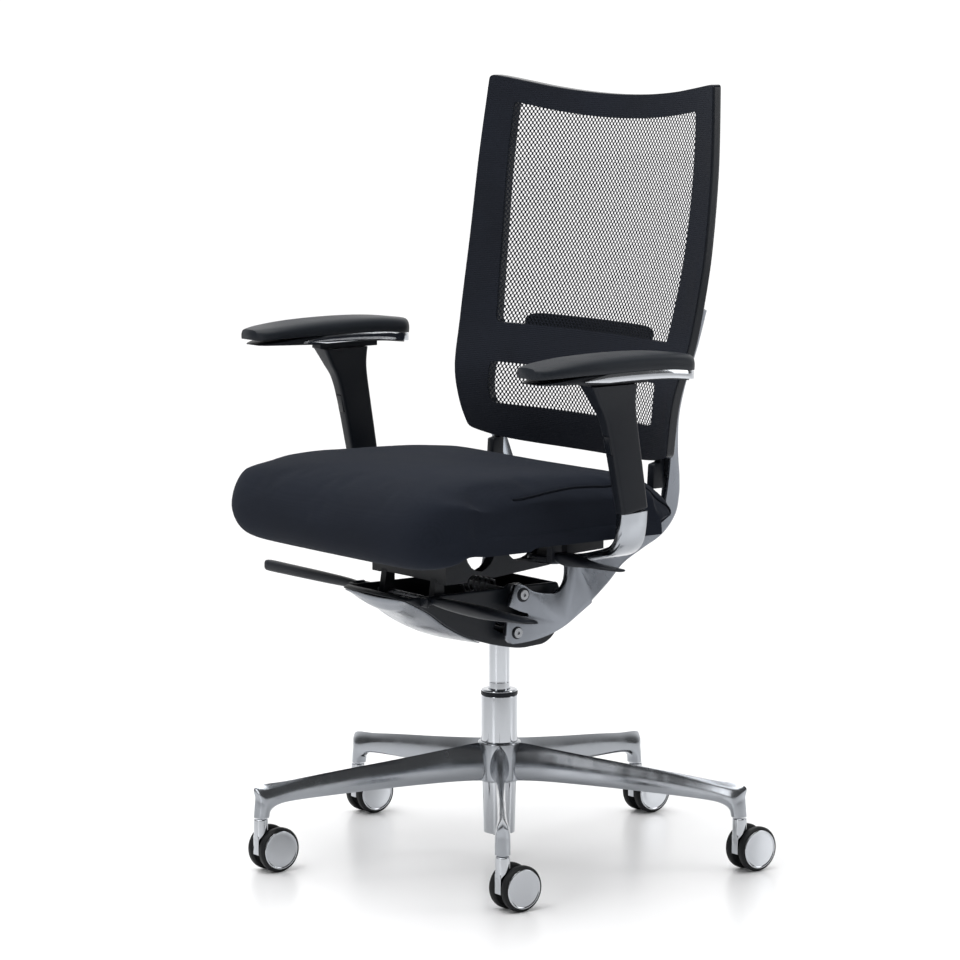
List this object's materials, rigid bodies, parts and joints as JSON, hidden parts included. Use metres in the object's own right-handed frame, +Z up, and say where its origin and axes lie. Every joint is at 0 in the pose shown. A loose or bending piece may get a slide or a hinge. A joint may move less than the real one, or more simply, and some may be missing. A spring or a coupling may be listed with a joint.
{
  "type": "swivel office chair",
  "caption": "Office chair with a framed mesh back, upholstered seat, adjustable padded arms, synchro tilt and gas lift on a polished spoked base with twin-wheel castors.",
  "frame": {"origin": "middle of the chair's box on the floor, 20 mm behind the column axis", "axes": "+Z up, the chair faces -Y, +X is the left-hand side of a person sitting in it"},
  "size_m": [0.7088, 0.6972, 1.045],
  "materials": {
    "polished_aluminium": "polished die casting",
    "chrome": "bright chrome plate",
    "steel": "zinc plated steel",
    "black_metal": "satin black powder coat",
    "black_plastic": "fine textured moulded nylon",
    "gloss_black": "semi-gloss moulded nylon",
    "mesh_fabric": "open knitted mesh",
    "seat_fabric": "fine woven upholstery",
    "soft_pad": "soft-touch polyurethane",
    "wheel_tyre": "black polyurethane tread"
  },
  "bodies": {
    "base": {"base_star": "polished_aluminium", "column_sleeve": "chrome", "guide_bush": "black_plastic", "thrust_bearing": "steel"},
    "piston": {"piston_rod": "chrome", "retaining_clip": "steel"},
    "column": {"gas_cylinder": "chrome", "mechanism_housing": "black_metal", "belly_tray": "polished_aluminium", "torsion_spring": "steel", "front_pin": "steel"},
    "valve": {"valve_button": "black_metal"},
    "height_lever": {"height_lever": "black_plastic"},
    "tilt_lever": {"tilt_lever": "black_plastic"},
    "back": {"back_arm_left": "polished_aluminium", "back_arm_right": "polished_aluminium", "recline_shaft": "steel", "stop_rod": "steel", "back_frame": "gloss_black", "back_mesh": "mesh_fabric"},
    "lumbar": {"lumbar_pad": "soft_pad"},
    "carrier": {"seat_carrier": "black_metal", "arm_bracket_left": "polished_aluminium", "arm_bracket_right": "polished_aluminium", "arm_post_left": "black_metal", "arm_post_right": "black_metal"},
    "seat": {"seat_pan": "black_plastic", "seat_cushion": "seat_fabric"},
    "depth_lever": {"depth_lever": "black_plastic"},
    "arm_left": {"arm_sleeve_left": "black_plastic"},
    "button_left": {"arm_button_left": "black_plastic"},
    "pad_left": {"arm_pad_base_left": "black_plastic", "arm_pad_trim_left": "chrome", "arm_pad_left": "soft_pad"},
    "arm_right": {"arm_sleeve_right": "black_plastic"},
    "button_right": {"arm_button_right": "black_plastic"},
    "pad_right": {"arm_pad_base_right": "black_plastic", "arm_pad_trim_right": "chrome", "arm_pad_right": "soft_pad"},
    "castor_1": {"castor_1_housing": "chrome", "castor_1_axle": "steel"},
    "castor_1_left": {"castor_1_wheel_left": "wheel_tyre"},
    "castor_1_right": {"castor_1_wheel_right": "wheel_tyre"},
    "castor_2": {"castor_2_housing": "chrome", "castor_2_axle": "steel"},
    "castor_2_left": {"castor_2_wheel_left": "wheel_tyre"},
    "castor_2_right": {"castor_2_wheel_right": "wheel_tyre"},
    "castor_3": {"castor_3_housing": "chrome", "castor_3_axle": "steel"},
    "castor_3_left": {"castor_3_wheel_left": "wheel_tyre"},
    "castor_3_right": {"castor_3_wheel_right": "wheel_tyre"},
    "castor_4": {"castor_4_housing": "chrome", "castor_4_axle": "steel"},
    "castor_4_left": {"castor_4_wheel_left": "wheel_tyre"},
    "castor_4_right": {"castor_4_wheel_right": "wheel_tyre"},
    "castor_5": {"castor_5_housing": "chrome", "castor_5_axle": "steel"},
    "castor_5_left": {"castor_5_wheel_left": "wheel_tyre"},
    "castor_5_right": {"castor_5_wheel_right": "wheel_tyre"}
  },
  "joints": [
    {"name": "swivel", "type": "hinge", "parent": "base", "child": "piston", "pos_m": [0, -0.02, 0.045], "axis": [0, 0, 1], "continuous": true},
    {"name": "gas_lift", "type": "slide", "parent": "piston", "child": "column", "axis": [0, 0, 1], "range_m": [-0.045, 0.055]},
    {"name": "valve_press", "type": "slide", "parent": "column", "child": "valve", "axis": [0, 0, 1], "range_m": [-0.003, 0], "stiffness_N_per_m": 3000},
    {"name": "height_lever_lift", "type": "hinge", "parent": "column", "child": "height_lever", "pos_m": [-0.084, -0.192, 0.376], "axis": [0, 1, 0], "range_deg": [0, 6], "stiffness_Nm_per_rad": 6, "springref_deg": -2.86},
    {"name": "tilt_lever_lift", "type": "hinge", "parent": "column", "child": "tilt_lever", "pos_m": [0.084, -0.192, 0.376], "axis": [0, 1, 0], "range_deg": [-6, 0]},
    {"name": "back_recline", "type": "hinge", "parent": "column", "child": "back", "pos_m": [0, -0.052, 0.372], "axis": [-1, 0, 0], "range_deg": [0, 20], "stiffness_Nm_per_rad": 70, "springref_deg": -28.65},
    {"name": "seat_tilt", "type": "hinge", "parent": "column", "child": "carrier", "pos_m": [0, -0.166, 0.368], "axis": [-1, 0, 0], "range_deg": [0, 7]},
    {"name": "lumbar_height", "type": "slide", "parent": "back", "child": "lumbar", "axis": [0, 0.2256, 0.9742], "range_m": [-0.012, 0.018]},
    {"name": "seat_depth", "type": "slide", "parent": "carrier", "child": "seat", "axis": [0, -1, 0], "range_m": [0, 0.05]},
    {"name": "depth_lever_lift", "type": "hinge", "parent": "seat", "child": "depth_lever", "pos_m": [0.192, -0.068, 0.436], "axis": [0, 1, 0], "range_deg": [-5, 0], "stiffness_Nm_per_rad": 3, "springref_deg": 2.86},
    {"name": "arm_height_left", "type": "slide", "parent": "carrier", "child": "arm_left", "axis": [0, -0.1822, 0.9833], "range_m": [0, 0.08]},
    {"name": "arm_button_press_left", "type": "slide", "parent": "arm_left", "child": "button_left", "axis": [0, 0.9833, 0.1822], "range_m": [0, 0.0025], "stiffness_N_per_m": 800},
    {"name": "arm_pad_slide_left", "type": "slide", "parent": "arm_left", "child": "pad_left", "axis": [0, 1, 0], "range_m": [-0.025, 0.025]},
    {"name": "arm_height_right", "type": "slide", "parent": "carrier", "child": "arm_right", "axis": [0, -0.1822, 0.9833], "range_m": [0, 0.08]},
    {"name": "arm_button_press_right", "type": "slide", "parent": "arm_right", "child": "button_right", "axis": [0, 0.9833, 0.1822], "range_m": [0, 0.0025], "stiffness_N_per_m": 800},
    {"name": "arm_pad_slide_right", "type": "slide", "parent": "arm_right", "child": "pad_right", "axis": [0, 1, 0], "range_m": [-0.025, 0.025]},
    {"name": "castor_1_swivel", "type": "hinge", "parent": "base", "child": "castor_1", "pos_m": [-0.335, -0.02, 0.072], "axis": [0, 0, 1], "continuous": true},
    {"name": "castor_1_roll_left", "type": "hinge", "parent": "castor_1", "child": "castor_1_left", "pos_m": [-0.335, 0, 0.03], "axis": [1, 0, 0], "continuous": true},
    {"name": "castor_1_roll_right", "type": "hinge", "parent": "castor_1", "child": "castor_1_right", "pos_m": [-0.335, 0, 0.03], "axis": [1, 0, 0], "continuous": true},
    {"name": "castor_2_swivel", "type": "hinge", "parent": "base", "child": "castor_2", "pos_m": [-0.10352, -0.3386, 0.072], "axis": [0, 0, 1], "continuous": true},
    {"name": "castor_2_roll_left", "type": "hinge", "parent": "castor_2", "child": "castor_2_left", "pos_m": [-0.10352, -0.3186, 0.03], "axis": [1, 0, 0], "continuous": true},
    {"name": "castor_2_roll_right", "type": "hinge", "parent": "castor_2", "child": "castor_2_right", "pos_m": [-0.10352, -0.3186, 0.03], "axis": [1, 0, 0], "continuous": true},
    {"name": "castor_3_swivel", "type": "hinge", "parent": "base", "child": "castor_3", "pos_m": [0.27102, -0.21691, 0.072], "axis": [0, 0, 1], "continuous": true},
    {"name": "castor_3_roll_left", "type": "hinge", "parent": "castor_3", "child": "castor_3_left", "pos_m": [0.27102, -0.19691, 0.03], "axis": [1, 0, 0], "continuous": true},
    {"name": "castor_3_roll_right", "type": "hinge", "parent": "castor_3", "child": "castor_3_right", "pos_m": [0.27102, -0.19691, 0.03], "axis": [1, 0, 0], "continuous": true},
    {"name": "castor_4_swivel", "type": "hinge", "parent": "base", "child": "castor_4", "pos_m": [0.27102, 0.17691, 0.072], "axis": [0, 0, 1], "continuous": true},
    {"name": "castor_4_roll_left", "type": "hinge", "parent": "castor_4", "child": "castor_4_left", "pos_m": [0.27102, 0.19691, 0.03], "axis": [1, 0, 0], "continuous": true},
    {"name": "castor_4_roll_right", "type": "hinge", "parent": "castor_4", "child": "castor_4_right", "pos_m": [0.27102, 0.19691, 0.03], "axis": [1, 0, 0], "continuous": true},
    {"name": "castor_5_swivel", "type": "hinge", "parent": "base", "child": "castor_5", "pos_m": [-0.10352, 0.2986, 0.072], "axis": [0, 0, 1], "continuous": true},
    {"name": "castor_5_roll_left", "type": "hinge", "parent": "castor_5", "child": "castor_5_left", "pos_m": [-0.10352, 0.3186, 0.03], "axis": [1, 0, 0], "continuous": true},
    {"name": "castor_5_roll_right", "type": "hinge", "parent": "castor_5", "child": "castor_5_right", "pos_m": [-0.10352, 0.3186, 0.03], "axis": [1, 0, 0], "continuous": true}
  ],
  "couplings": [
    {"joint": "seat_tilt", "follows": "back_recline", "ratio": 0.35},
    {"joint": "valve_press", "follows": "height_lever_lift", "m_per_rad": -0.0286}
  ]
}
